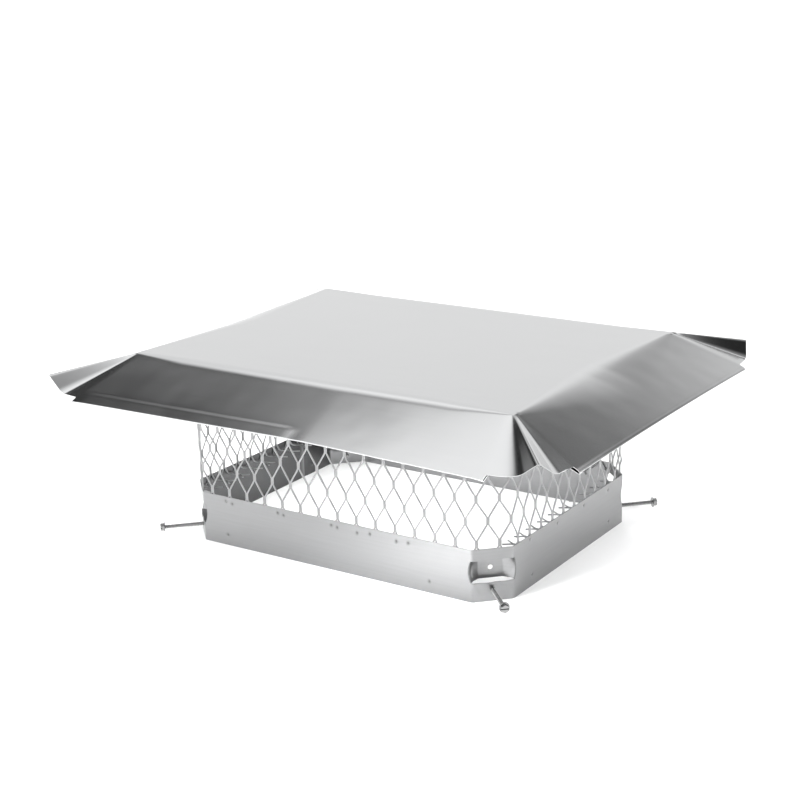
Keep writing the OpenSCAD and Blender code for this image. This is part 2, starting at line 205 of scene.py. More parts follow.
LID_STEEL = steel("lid_steel", (0.60, 0.605, 0.61), 0.15, (8, 240, 240), 0.02, 0.0000008, 0.0006,
                  spots=TOP_SPOTS)
# The band's sheet is darkened by its weld marks and by painted shade along its straps' creases and on its
# inner side
BAND_STEEL = steel("band_steel", (0.30, 0.302, 0.305), 0.30, (16, 16, 500), 0.05, 0.000006, 0.0004,
                   marks_and_shade_by=0.62)
MESH_STEEL = steel("mesh_steel", (0.33, 0.333, 0.336), 0.34, (220, 220, 90), 0.05, 0.00002, 0.0001)
SCREW_STEEL = steel("screw_steel", (0.31, 0.31, 0.31), 0.26, (300, 300, 300), 0.05, 0.00001, 0.0001)


# Pieces


def make_piece(name, points, faces, material, node, body, crease=35.0):
    mesh = bpy.data.meshes.new(name)
    mesh.from_pydata((np.asarray(points, float) * MM).tolist(), [], faces)
    mesh.validate()
    mesh.shade_smooth()
    mesh.set_sharp_from_angle(angle=math.radians(crease))
    mesh.materials.append(material)
    piece = bpy.data.objects.new(name, mesh)
    bpy.context.scene.collection.objects.link(piece)
    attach(piece, body)
    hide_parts(node)
    return piece


def settle_modifiers(piece):
    """Puts the result of a piece's modifiers into its mesh."""
    graph = bpy.context.evaluated_depsgraph_get()
    mesh = bpy.data.meshes.new_from_object(piece.evaluated_get(graph))
    piece.modifiers.clear()
    piece.data = mesh


# Lid, drawn as spokes from the flat top to the edge, as the part's source does but finer

SIDE_STEPS = (96, 72, 96, 72)
BEND_STEPS, FOLD_STEPS, EAR_STEPS = 16, 8, 48
CORNER_R, CORNER_REACH, BEND_FADE = 6.0, 3.0, (60.0, 150.0)
TOP_RINGS = (0.985, 0.95, 0.85, 0.6, 0.3)
# How far the sheet stands out over the leaf of the front's hem, left of the place where it ends
HEM_PRINT, PRINT_END, PRINT_W = 0.42, 34.0, 5.5
# Lengths over which that fades out at the lid's corner and at the place where it ends
PRINT_CORNER_FADE, PRINT_END_FADE = 14.0, 12.0
# Distances at which the fold takes its tilt from the slope and the leaf has its first ring
FOLD_TILT_AT, LEAF_START = 0.2, 0.4
# Distances from the edge at which the sheet has a ring between the last one and the fold
HEM_AT = (5.8, 4.8, 4.0, 3.3, 2.7, 2.1, 1.5, 1.0)
# Shares of a slope's length at which it has a ring, close together over the edge of the leaf
SLOPE_AT = (0.08, 0.18, 0.3, 0.42, 0.54, 0.66, 0.76, 0.82,
            0.845, 0.862, 0.877, 0.892, 0.907, 0.925, 0.96, 1.0)
# How far the corners of a pleat's edge are cut off by curves, before and after each. The valley at
# the front right runs softly out of the front slope.
RIDGE_CUT, VALLEY_CUT, SOFT_CUT = (3.5, 3.5), (6.0, 6.0), (21.0, 9.0)
CURVE_STEPS = 10


def side_sizes(i):
    """Half length, distance, run and hem half length of lid side i, anticlockwise from the front."""
    if i % 2 == 0:
        return FLAT_L / 2, FLAT_W / 2, (LID_W - FLAT_W) / 2, HEM_LONG / 2
    return FLAT_W / 2, FLAT_L / 2, (LID_L - FLAT_L) / 2, HEM_SHORT / 2


def placed(i, points):
    """Local u along the side, w outward and z, turned into the part's frame."""
    a = math.radians(90 * i)
    u, w, z = np.moveaxis(np.asarray(points, float), -1, 0)
    return np.stack([u * math.cos(a) + w * math.sin(a), u * math.sin(a) - w * math.cos(a), z], -1)


def rise(i, u):
    """How far the edge of side i is bowed up at u along it."""
    half = side_sizes(i)[3]
    if i == 0:
        left = (half + u) / (half + FRONT_KINK)
        right = (half - u) / (half - FRONT_KINK)
        # A rounded minimum, so that the kink is a short bend
        soft = 0.02
        return FRONT_RISE * 0.5 * (left + right - math.sqrt((left - right) ** 2 + soft**2))
    return SIDE_RISE * (1 - (u / half) ** 2)


def bezier(a, b, c, count):
    k = np.linspace(0, 1, count + 1)[:, None]
    return a * (1 - k) ** 2 + 2 * b * k * (1 - k) + c * k * k


def spoke(inward, edge, outer, reach, shares=(1.0, 1.0)):
    """Points from the flat top round the bend at its edge and out to the last ring."""
    along = (outer - edge) / np.linalg.norm(outer - edge)
    finish = edge + along * reach * shares[1]
    bend = bezier(edge + inward * reach * shares[0], edge, finish, BEND_STEPS)
    k = np.array(SLOPE_AT)[:, None]
    return np.vstack([bend, finish * (1 - k) + outer * k])


def slope_at(i, u):
    """Angle of side i below the flat top."""
    return math.atan((LID_DROP - rise(i, u)) / side_sizes(i)[2])


def hem_print(i, u, distance):
    """Height by which the slope stands out at a distance from the lid's edge."""
    if i > 0:
        return np.zeros_like(distance)
    ends = smooth((side_sizes(i)[3] - abs(u)) / PRINT_CORNER_FADE)
    ends *= smooth((PRINT_END - u) / PRINT_END_FADE)
    return HEM_PRINT * ends * np.clip((HEM_W + PRINT_W / 2 - distance) / PRINT_W, 0.0, 1.0)


def hem_ends(i):
    """Where the hem of side i starts and stops along that side."""
    half = side_sizes(i)[3]
    return -half, half - FRONT_END_CUT * (i == 0)


def side_spoke(i, k):
    half, away, run, _ = side_sizes(i)
    left, right = hem_ends(i)
    u_in = (2 * k / SIDE_STEPS[i] - 1) * (half - CORNER_R)
    u_out = left + (right - left) * k / SIDE_STEPS[i]
    full = BEND_R[i % 2] * math.tan(slope_at(i, 0) / 2)
    grown = min(1.0, (half - CORNER_R - abs(u_in)) / BEND_FADE[i % 2])
    reach = CORNER_REACH + (full - CORNER_REACH) * grown
    z_out = LID_TOP - (LID_DROP - rise(i, u_out)) * (1 - EAR_IN / run)
    points = spoke(np.array([0.0, -1, 0]), np.array([u_in, away, LID_TOP]),
                   np.array([u_out, away + run - EAR_IN, z_out]), reach, BEND_SHARES[i % 2])
    points[:, 2] += hem_print(i, u_out, away + run - points[:, 1])
    return placed(i, points)


def hem_chain(i, k, outer):
    """The sheet's outer or inner face from the last ring round the fold and back under the slope."""
    half, away, run, _ = side_sizes(i)
    left, right = hem_ends(i)
    u = left + (right - left) * k / SIDE_STEPS[i]
    a = slope_at(i, u)
    gap = HEM_GAP + HEM_FLARE * (1 - float(smooth(min(u - left, right - u) / FLARE_L)))
    fold_r = LID_T + gap / 2
    radius = fold_r if outer else gap / 2
    edge = away + run

    def surface(s):
        """Height and tilt of the sheet's outer face at a distance from the edge."""
        left_over = max(0.0, 1 - s / DROOP_W)
        z = LID_TOP - math.tan(a) * (run - s) + hem_print(i, u, s) - HEM_DROOP[i % 2] * left_over**2
        return z, math.atan(math.tan(a) + 2 * HEM_DROOP[i % 2] / DROOP_W * left_over)

    chain = []
    for s in HEM_AT:
        z, tilt = surface(s)
        deep = 0.0 if outer else LID_T
        chain.append((u, edge - s - deep * math.sin(tilt), z - deep * math.cos(tilt)))
    tilt = surface(FOLD_TILT_AT)[1]
    begin = fold_r * (1 - math.sin(tilt))
    mid_w = edge - begin - fold_r * math.sin(tilt)
    mid_z = surface(begin)[0] - fold_r * math.cos(tilt)
    for f in range(FOLD_STEPS + 1):
        b = tilt + (math.pi + a - tilt) * f / FOLD_STEPS
        chain.append((u, mid_w + radius * math.sin(b), mid_z + radius * math.cos(b)))
    for length in (LEAF_START, HEM_W - fold_r):
        chain.append((u, mid_w - radius * math.sin(a) - length * math.cos(a),
                      mid_z - radius * math.cos(a) + length * math.sin(a)))
    return placed(i, chain)


def rounded_path(corners, cuts, count):
    """A path through its corners, as count points at even lengths.

    Each corner is cut off by a curve, and cuts says how far before and after it.
    """
    path = [corners[0]]
    for k in range(1, len(corners) - 1):
        before = corners[k - 1] - corners[k]
        after = corners[k + 1] - corners[k]
        a = corners[k] + before / np.linalg.norm(before) * cuts[k - 1][0]
        b = corners[k] + after / np.linalg.norm(after) * cuts[k - 1][1]
        path.extend(bezier(a, corners[k], b, CURVE_STEPS))
    path.append(corners[-1])
    path = np.array(path)
    length = np.concatenate([[0], np.cumsum(np.linalg.norm(np.diff(path, axis=0), axis=1))])
    at = np.linspace(0, length[-1], count)
    return np.stack([np.interp(at, length, path[:, k]) for k in range(3)], -1), at / length[-1]


def corner_spokes(i):
    """The pleat between side i and the next: a ridge between two valleys."""
    half, away, run, _ = side_sizes(i)
    run_next = side_sizes(i + 1)[2]
    hem_here, hem_next = hem_ends(i)[1], -hem_ends(i + 1)[0]

    def on_slope(cut, run_here):
        return LID_TOP - LID_DROP * (1 - cut / run_here)

    ridge_in, ridge_up = RIDGE_TIPS[i]
    front_out, side_out = VALLEY_OUT, VALLEY_SIDE_OUT
    if i % 2 == 1:
        front_out, side_out = side_out, front_out
    corners = [
        np.array([hem_here, away + run - EAR_IN, on_slope(EAR_IN, run)]),
        np.array([half + front_out, away + run - VALLEY_IN, on_slope(VALLEY_IN, run) - VALLEY_SINK]),
        np.array([half + run_next - ridge_in, away + run - ridge_in, LID_TOP - LID_DROP + ridge_up]),
        np.array([half + run_next - VALLEY_IN, away + side_out,
                  on_slope(VALLEY_IN, run_next) - VALLEY_SINK]),
        np.array([half + run_next - EAR_IN, hem_next, on_slope(EAR_IN, run_next)]),
    ]
    cuts = (SOFT_CUT if i == 0 else VALLEY_CUT, RIDGE_CUT, VALLEY_CUT)
    ends, part = rounded_path(corners, cuts, EAR_STEPS + 2)
    spokes = []
    for end, share in zip(ends[1:-1], part[1:-1]):
        a = math.radians(90 * share)
        out = np.array([math.sin(a), math.cos(a), 0])
        mid = np.array([half - CORNER_R, away - CORNER_R, LID_TOP])
        spokes.append(placed(i, spoke(-out, mid + CORNER_R * out, end, CORNER_REACH)))
    return spokes


def build_lid():
    spokes, hem_spokes, first = [], [], []
    for i in range(4):
        first.append(len(spokes))
        for k in range(SIDE_STEPS[i] + 1):
            hem_spokes.append((hem_chain(i, k, True), hem_chain(i, k, False)))
            spokes.append(side_spoke(i, k))
        spokes.extend(corner_spokes(i))
    upper = np.array(spokes)
    count, reach = upper.shape[0], upper.shape[1]
    last = reach - 1
    lower = upper - np.array([0, 0, LID_T])
    points = [upper.reshape(-1, 3), lower.reshape(-1, 3)]
    faces = []
    low_at = count * reach

    def up(k, j):
        return (k % count) * reach + j

    def low(k, j):
        return low_at + up(k, j)

    for k in range(count):
        for j in range(last):
            faces.append((up(k, j), up(k, j + 1), up(k + 1, j + 1), up(k + 1, j)))
            faces.append((low(k, j), low(k + 1, j), low(k + 1, j + 1), low(k, j + 1)))

    # Flat top in rings, above and below
    rims = {0: [up(k, 0) for k in range(count)], 1: [low(k, 0) for k in range(count)]}
    total = 2 * low_at
    for level, z in ((0, LID_TOP), (1, LID_TOP - LID_T)):
        ring = rims[level]
        for scale in TOP_RINGS:
            inner = upper[:, 0] * np.array([scale, scale, 0]) + np.array([0, 0, z])
            points.append(inner)
            new = list(range(total, total + count))
            total += count
            for k in range(count):
                m = (k + 1) % count
                quad = (ring[k], ring[m], new[m], new[k])
                faces.append(quad if level == 0 else quad[::-1])
            ring = new
        points.append(np.array([[0, 0, z]]))
        for k in range(count):
            tri = (ring[k], ring[(k + 1) % count], total)
            faces.append(tri if level == 0 else tri[::-1])
        total += 1

    # Hems
    chain = len(hem_spokes[0][0])
    start = total
    for outside, inside in hem_spokes:
        points.extend([outside, inside])
        total += 2 * chain

    def out(h, m):
        return start + h * 2 * chain + m

    def inn(h, m):
        return out(h, m) + chain

    def end_cap(s, h, flip):
        quads = [(up(s, last), out(h, 0), inn(h, 0), low(s, last))]
        quads += [(out(h, m), out(h, m + 1), inn(h, m + 1), inn(h, m)) for m in range(chain - 1)]
        faces.extend(q[::-1] if flip else q for q in quads)

    h = 0
    for i in range(4):
        end_cap(first[i], h, False)
        for k in range(SIDE_STEPS[i]):
            s = first[i] + k
            faces.append((up(s, last), out(h, 0), out(h + 1, 0), up(s + 1, last)))
            faces.append((low(s + 1, last), inn(h + 1, 0), inn(h, 0), low(s, last)))
            for m in range(chain - 1):
                faces.append((out(h, m), out(h, m + 1), out(h + 1, m + 1), out(h + 1, m)))
                faces.append((inn(h + 1, m), inn(h + 1, m + 1), inn(h, m + 1), inn(h, m)))
            faces.append((out(h, chain - 1), inn(h, chain - 1),
                          inn(h + 1, chain - 1), out(h + 1, chain - 1)))
            h += 1
        end_cap(first[i] + SIDE_STEPS[i], h, True)
        h += 1
        ear = range(first[i] + SIDE_STEPS[i], first[i] + SIDE_STEPS[i] + EAR_STEPS + 1)
        faces.extend((up(k, last), low(k, last), low(k + 1, last), up(k + 1, last)) for k in ear)

    return make_piece("lid_sheet", np.vstack(points), faces, LID_STEEL, "lid", "cap",
                      crease=50.0)


# Walks round the base's eight straight stretches


def octagon(inset):
    """Corners of the base's outline moved inward, anticlockwise from the front wall's left end."""
    x, y = BAND_L / 2 - inset, BAND_W / 2 - inset
    leg = CORNER_LEG - inset * (2 - math.sqrt(2))
    return np.array([
        (-x + leg, -y), (x - leg, -y), (x, -y + leg), (x, y - leg),
        (x - leg, y), (-x + leg, y), (-x, y - leg), (-x, -y + leg),
    ])


def stretches(corners):
    return np.linalg.norm(np.roll(corners, -1, axis=0) - corners, axis=1)


def walk(corners, part, bend):
    """Point and outward normal at part = stretch number + share of that stretch, with rounded bends."""
    part = part % 8.0
    k = int(part) % 8
    share = part - int(part)
    lengths = stretches(corners)
    here, there = corners[k], corners[(k + 1) % 8]
    ahead = (there - here) / lengths[k]
    s = share * lengths[k]
    point, tangent = here + ahead * s, ahead
    if s < bend or lengths[k] - s < bend:
        if s < bend:
            knee, u = here, 0.5 + s / bend / 2
            back = (here - corners[k - 1]) / lengths[k - 1]
            front = ahead
        else:
            knee, u = there, 0.5 - (lengths[k] - s) / bend / 2
            after = corners[(k + 2) % 8]
            back, front = ahead, (after - there) / lengths[(k + 1) % 8]
        a, b = knee - back * bend, knee + front * bend
        point = a * (1 - u) ** 2 + 2 * knee * u * (1 - u) + b * u * u
        tangent = (knee - a) * (1 - u) + (b - knee) * u
        tangent = tangent / np.linalg.norm(tangent)
    return point, np.array([tangent[1], -tangent[0]])


# Mesh of expanded metal

# Outline of a strand's section, in shares of its width and its thickness
STRAND_SECTION = ((-0.5, -0.22), (-0.5, 0.22), (-0.3, 0.5), (0.3, 0.5),
                  (0.5, 0.22), (0.5, -0.22), (0.3, -0.5), (-0.3, -0.5))
# Heights over a row's middle at which a strand has a section, through a knuckle and up to the next
STRAND_AT = (-KNUCKLE_L / 2, 0.0, KNUCKLE_L / 2, 6.2, 8.9, 11.6, 14.3, 17.0)
# Twist of a strand between two knuckles in degrees, and how much of its slant is eased
STRAND_TWIST, STRAND_EASE = 24.0, 0.08
# Bend of the walls into each other, and of the shelf and the flange out of the walls
MESH_BEND, MESH_TURN_R = 2.0, 2.0


def build_mesh():
    wall = octagon(BAND_T + MESH_T / 2)
    lengths = stretches(octagon(BAND_T))
    starts = np.concatenate([[0], np.cumsum(lengths)])
    way_round = starts[-1]
    diamonds = round(way_round / DIAMOND_W)
    pitch = way_round / diamonds
    row_h = DIAMOND_H / 2
    foot, head = BAND_H - SHELF_DROP, LID_TOP - LID_T
    first_row = BAND_H + KNUCKLE_UP
    phase = lengths[0] / 2 - PATTERN_SHIFT - pitch / 2
    low_row = math.floor((foot - SHELF_W - first_row) / row_h) - 1
    high_row = math.ceil((head + FLANGE_W - first_row) / row_h) + 1
    points, faces = [], []

    def place(s, v):
        """Middle of the strip at s round and v up, with its outward normal."""
        s = s % way_round
        k = int(np.searchsorted(starts, s, side="right") - 1)
        share = (s - starts[k]) / lengths[k]
        flat, normal = walk(wall, k + share, MESH_BEND)
        outward = np.array([normal[0], normal[1], 0.0])
        up = np.array([0, 0, 1.0])
        z, inward, facing = v, 0.0, outward
        low, high = foot + MESH_T / 2, head - MESH_T / 2
        if v < low + MESH_TURN_R:
            past = low + MESH_TURN_R - v
            u = min(1.0, past / (2 * MESH_TURN_R))
            z = max(low, low + MESH_TURN_R * (1 - u) ** 2)
            inward = MESH_TURN_R * u * u if u < 1 else past - MESH_TURN_R
            z -= SHELF_LEAN * max(0.0, inward - MESH_TURN_R) * (k % 4 == 0)
            facing = outward * (1 - u) - up * u
        elif v > high - MESH_TURN_R:
            past = v - (high - MESH_TURN_R)
            u = min(1.0, past / (2 * MESH_TURN_R))
            z = min(high, high - MESH_TURN_R * (1 - u) ** 2)
            inward = MESH_TURN_R * u * u if u < 1 else past - MESH_TURN_R
            facing = outward * (1 - u) + up * u
        spot = np.array([flat[0], flat[1], z]) - outward * inward
        return spot, facing / np.linalg.norm(facing)

    def inside(s, v):
        """Is this place on the strip, within the cut-back ends of shelf and flange?"""
        s = s % way_round
        k = int(np.searchsorted(starts, s, side="right") - 1)
        if foot <= v <= head:
            return True
        if k % 2 == 1:
            return False
        if v < foot:
            cut = SHELF_CUT * (foot - v) / SHELF_W
            return foot - v <= SHELF_W and starts[k] + cut <= s <= starts[k + 1] - cut
        cut = FLANGE_CUT * (v - head) / FLANGE_W
        return v - head <= FLANGE_W and starts[k] + cut <= s <= starts[k + 1] - cut

    def strand(index):
        """One strand runs up the whole strip, from side to side between its two neighbours."""
        base = phase + pitch / 2 * index
        path = []
        for row in range(low_row, high_row):
            # At its own rows the strand sits right of a knuckle, at the others left of the next
            own = (row + index) % 2 == 0
            near = KNUCKLE_HALF if own else pitch / 2 - KNUCKLE_HALF
            far = pitch / 2 - KNUCKLE_HALF if own else KNUCKLE_HALF
            for step in STRAND_AT:
                t = (step - KNUCKLE_L / 2) / (row_h - KNUCKLE_L)
                mix = 0.0 if t <= 0 else (1 - STRAND_EASE) * t + STRAND_EASE * float(smooth(t))
                lean = math.sin(math.pi * min(max(t, 0.0), 1.0)) * (1 if own else -1)
                v = first_row + row_h * row + step
                if v < foot:
                    lean = 0.0
                path.append((base + near + (far - near) * mix, v, lean))
        kept = [p for p in path if inside(p[0], p[1])]
        if len(kept) < 2:
            return
        frames = [place(p[0], p[1]) for p in kept]
        spots = np.array([f[0] for f in frames])
        tangents = np.gradient(spots, axis=0)
        at = len(points)
        for (_, _, lean), (spot, facing), tangent in zip(kept, frames, tangents):
            tangent = tangent / np.linalg.norm(tangent)
            side = np.cross(tangent, facing)
            side = side / np.linalg.norm(side)
            out = np.cross(side, tangent)
            a = math.radians(STRAND_TWIST) * lean
            turned_side = side * math.cos(a) + out * math.sin(a)
            turned_out = out * math.cos(a) - side * math.sin(a)
            width = 2 * KNUCKLE_HALF + (STRAND_W - 2 * KNUCKLE_HALF) * abs(lean)
            for p, q in STRAND_SECTION:
                points.append(spot + turned_side * p * width + turned_out * q * MESH_T)
        n = len(STRAND_SECTION)
        for k in range(len(kept) - 1):
            for m in range(n):
                a, b = at + k * n + m, at + k * n + (m + 1) % n
                faces.append((a, b, b + n, a + n))
        end = at + (len(kept) - 1) * n
        faces.append(tuple(at + m for m in reversed(range(n))))
        faces.append(tuple(end + m for m in range(n)))

    for index in range(2 * diamonds):
        strand(index)
    return make_piece("mesh_strands", points, faces, MESH_STEEL, "mesh_screen", "cap",
                      crease=60.0)


# Base band

# Spot-weld marks as distance right of the wall's middle and height, on each wall in turn
FRONT_MARKS = ((-137.5, 50), (-129.2, 48.3), (-68.1, 49.3), (-60.6, 48.1), (1, 49.1), (8.5, 48),
               (33.1, 47.1), (48.8, 48.9), (80.7, 47.3), (95.1, 48.2), (-137.3, 11.4), (119.3, 12))
RIGHT_MARKS = ((-86.7, 50.4), (-30, 48.5), (28, 49), (84, 48.3), (-83, 11.2), (86, 11.5))
MARK_R, MARK_DEPTH, MARK_DULL, MARK_REACH = 1.5, 1.0, 0.9, 5.0
# Half sizes of the square round each hole that is remeshed
HOLE_HALF_S, HOLE_HALF_Z = 4.5, 4.5
# The strap's legs start on an arc: how far its ends are outside the corner's flat, and how much
# further out its middle is
ROOT_OUT, ROOT_BULGE = 0.4, 3.4
# How a leg goes in: shares of its width, the depth at each of them, and how much that is rounded
LEG_AT, LEG_DEPTH, LEG_ROUND = (0.0, 0.30, 0.93, 1.0), (0.0, 0.45, 0.97, 1.0), 0.05
# Painted shade along the crease on that arc: half width and strength
CREASE_W, CREASE_PAINTED_SHADE = 0.7, 0.8
# The lower lip is pushed out: how far, at what height below the cut, over what height
LIP_OUT, LIP_DOWN, LIP_H = 1.5, 1.5, 2.2


# The outer end of the strip steps over the inner one this far before the seam, over this length
LAP_STEP_AT, LAP_STEP_W = 7.0, 5.0
# Painted shade on the band's inner side, on the end walls and elsewhere
INNER_PAINTED_SHADE = (1.0, 0.1)
CORNERS = (1, 3, 5, 7)
# Columns of points: how many round the walls, how near they may be, and the half width of the fine
# stretch at each corner
WALL_COLUMNS, LEAST_STEP, CORNER_ZONE = 180, 0.45, 27.0
# Extra columns about each weld mark and before the seam
MARK_COLUMNS = (-2.8, -1.8, -1.2, -0.6, 0, 0.6, 1.2, 1.8, 2.8)
LAP_COLUMNS = (-8, -6, -4, -2, 0)
# Rows of points below, in and above the straps
LOWER_ROWS = (0, 1, 3, 5, 7, 8.6, 9.4, 10.2, 11, 11.8, 12.6, 13.4,
              15, 16.2, 17.2, 18, 18.6, 19.2, STRAP_LOW)
STRAP_ROWS = 12
UPPER_ROWS = (STRAP_HIGH, 44, 45.2, 46, 46.7, 47.4, 48.1, 48.8, 49.5, 50.2, 51, 52, 53.5, BAND_H)


def leg_depth(q):
    """Depth of a strap's leg, from 0 at its root (q = 0) to 1 at the strap's back (q = 1)."""
    near = np.linspace(q - LEG_ROUND, q + LEG_ROUND, 7)
    return float(np.interp(near, LEG_AT, LEG_DEPTH).mean())


class BandSheet:
    """The band's strip: s runs along it from the front wall's left end, and z up it.

    Zone 0 is below the corner straps, zone 1 is at their height and zone 2 is above them.
    """

    def __init__(self):
        self.outline = octagon(0)
        self.lengths = stretches(self.outline)
        self.starts = np.concatenate([[0], np.cumsum(self.lengths)])
        self.way_round = self.starts[-1]
        self.corner_half = self.lengths[1] / 2
        self.mids = [self.starts[k] + self.lengths[k] / 2 for k in range(8)]
        self.seam = self.starts[6] + (BAND_W / 2 - CORNER_LEG - LAP_Y)
        self.end = self.seam + self.way_round + LAP_L
        walls = (FRONT_MARKS, RIGHT_MARKS, FRONT_MARKS, RIGHT_MARKS)
        self.marks = [(self.mids[2 * k] + u, z) for k, wall in enumerate(walls) for u, z in wall]

    def way(self, s, place):
        """Signed length from a place to s, the shorter way round."""
        return (s - place + self.way_round / 2) % self.way_round - self.way_round / 2

    def corner(self, s):
        """Number of the nearest corner's stretch, and the way from its middle."""
        return min(((k, self.way(s, self.mids[k])) for k in CORNERS), key=lambda found: abs(found[1]))

    def prints(self, s, z):
        """How strong each weld mark is here, from 0 to 1."""
        found = [0.0]
        for mark_s, mark_z in self.marks:
            gap = self.way(s, mark_s)
            if abs(gap) < MARK_REACH and abs(z - mark_z) < MARK_REACH:
                found.append(math.exp(-(gap * gap + (z - mark_z) ** 2) / MARK_R**2))
        return found

    def strap_root(self, z):
        """How far from the corner's middle a strap's legs start at this height."""
        height = min(max((z - STRAP_LOW) / (STRAP_HIGH - STRAP_LOW), 0.0), 1.0)
        return self.corner_half + ROOT_OUT + ROOT_BULGE * math.sin(math.pi * height) ** 0.7

    def point(self, s, z, zone):
        k = int(np.searchsorted(self.starts, s % self.way_round, side="right") - 1)
        part = k + (s % self.way_round - self.starts[k]) / self.lengths[k]
        flat, normal = walk(self.outline, part, BAND_BEND)
        corner, offset = self.corner(s)
        out = -MARK_DEPTH * sum(self.prints(s, z))
        if zone == 0 and abs(offset) < self.corner_half:
            # The lip under a strap fades out to both sides and has dents in it
            share = 1 - (offset / self.corner_half) ** 2
            dent = 0.6 + 0.4 * math.cos(2.2 * math.pi * (offset + 5) / self.corner_half)
            out += LIP_OUT * share * dent * math.exp(-(((STRAP_LOW - LIP_DOWN - z) / LIP_H) ** 2))
        step_start = self.seam + self.way_round - LAP_STEP_AT
        out += BAND_T * float(smooth((s - step_start) / LAP_STEP_W))
        point = np.array([flat[0] + normal[0] * out, flat[1] + normal[1] * out, z])
        if zone == 1:
            _, facing = walk(self.outline, corner + 0.5, BAND_BEND)
            root = self.strap_root(z)
            depth = STRAP_DEPTH * leg_depth((root - abs(offset)) / (root - STRAP_BACK / 2))
            point = point - np.array([facing[0], facing[1], 0]) * depth
        return point

    def marks_and_shade_at(self, s, z, zone):
        """How dark the sheet is made here by a weld mark, and by painted shade along the crease at a
        strap's root.
        """
        marks_and_shade = MARK_DULL * max(self.prints(s, z))
        # Painted shade along the crease at the strap's root
        if zone == 1:
            off_root = abs(self.corner(s)[1]) - self.strap_root(z)
            marks_and_shade = max(marks_and_shade, CREASE_PAINTED_SHADE * math.exp(-((off_root / CREASE_W) ** 2)))
        return marks_and_shade

    def columns(self):
        """Places of the columns of points, fine at the corners, the weld marks and the lap."""
        columns = set(np.round(np.linspace(self.seam, self.end, WALL_COLUMNS), 3))
        step = HOLE_HALF_S / 6
        reach = int(CORNER_ZONE / step)
        for k in CORNERS:
            for middle in (self.mids[k], self.mids[k] + self.way_round):
                if self.seam < middle < self.end:
                    columns = {c for c in columns if abs(c - middle) > CORNER_ZONE + 1}
                    columns |= {round(middle + step * m, 3) for m in range(-reach, reach + 1)}
        for mark_s, _ in self.marks:
            for middle in (mark_s, mark_s + self.way_round):
                if self.seam + MARK_REACH < middle < self.end - MARK_REACH:
                    columns |= {round(middle + d, 3) for d in MARK_COLUMNS}
        columns |= {round(self.seam + self.way_round + d, 3) for d in LAP_COLUMNS}
        kept = []
        for c in sorted(columns):
            if not kept or c - kept[-1] > LEAST_STEP:
                kept.append(c)
        return kept


def band_hole(s, offset, z, zone):
    """Middle, zone and radius of the hole whose square this place is in, or None."""
    if abs(offset) >= HOLE_HALF_S:
        return None
    middle = round(s - offset, 2)
    strap_mid = (STRAP_LOW + STRAP_HIGH) / 2
    if zone == 0 and abs(z - SCREW_Z) < HOLE_HALF_Z:
        return middle, SCREW_Z, 0, SCREW_R + SCREW_GAP
    if zone == 1 and abs(z - strap_mid) < HOLE_HALF_Z:
        return middle, strap_mid, 1, STRAP_HOLE_R
    return None


def close_hole(hole, quads, spots):
    """Faces between the outer rim of the quads and a circle, whose points are added to the spots."""
    s_mid, z_mid, zone, radius = hole
    edges = dict.fromkeys((quad[m], quad[(m + 1) % 4]) for quad in quads for m in range(4))
    rim = [edge for edge in edges if (edge[1], edge[0]) not in edges]
    ring = {}
    for edge in rim:
        for v in edge:
            if v not in ring:
                ds, dz = spots[v][0] - s_mid, spots[v][1] - z_mid
                scale = radius / math.hypot(ds, dz)
                ring[v] = len(spots)
                spots.append((s_mid + ds * scale, z_mid + dz * scale, zone))
    return [(a, b, ring[b], ring[a]) for a, b in rim]


def build_band():
    sheet = BandSheet()
    columns = sheet.columns()
    middle = np.linspace(STRAP_LOW + STRAP_SLIT, STRAP_HIGH - STRAP_SLIT, STRAP_ROWS)
    rows = [(z, zone) for zone, heights in enumerate((LOWER_ROWS, middle, UPPER_ROWS)) for z in heights]
    spots = [(s, z, zone) for s in columns for z, zone in rows]
    n = len(rows)
    faces, holes = [], {}
    for a in range(len(columns) - 1):
        centre = (columns[a] + columns[a + 1]) / 2
        offset = sheet.corner(centre)[1]
        for b in range(n - 1):
            (z0, zone0), (z1, zone1) = rows[b], rows[b + 1]
            # The cuts above and below each strap stay open
            if zone0 != zone1 and abs(offset) < sheet.corner_half + ROOT_OUT:
                continue
            quad = (a * n + b, (a + 1) * n + b, (a + 1) * n + b + 1, a * n + b + 1)
            hole = band_hole(centre, offset, (z0 + z1) / 2, zone0)
            if hole:
                holes.setdefault(hole, []).append(quad)
            else:
                faces.append(quad)
    for hole, quads in holes.items():
        faces.extend(close_hole(hole, quads, spots))

    points = [sheet.point(*spot) for spot in spots]
    piece = make_piece("base_band_sheet", points, faces, BAND_STEEL, "base_band", "cap")
    # Weld marks, and painted shade along the straps' creases, darken the sheet through this attribute
    marks_and_shade = piece.data.attributes.new("marks_and_shade", "FLOAT", "POINT")
    marks_and_shade.data.foreach_set("value", [sheet.marks_and_shade_at(*spot) for spot in spots])
    thickness = piece.modifiers.new("sheet", "SOLIDIFY")
    thickness.thickness = BAND_T * MM
    thickness.offset = -1.0
    thickness.use_even_offset = True
    settle_modifiers(piece)
    piece.data.set_sharp_from_angle(angle=math.radians(38))
    # Painted shade on the band's inner side, strongest on the end walls
    marks_and_shade = piece.data.attributes["marks_and_shade"].data
    for number, vertex in enumerate(piece.data.vertices):
        outward = vertex.normal.x * vertex.co.x + vertex.normal.y * vertex.co.y
        end_wall = abs(vertex.normal.x) > 1.5 * abs(vertex.normal.y)
        if outward < 0:
            marks_and_shade[number].value = INNER_PAINTED_SHADE[0] if end_wall else INNER_PAINTED_SHADE[1]
    return piece


# Clamp screws


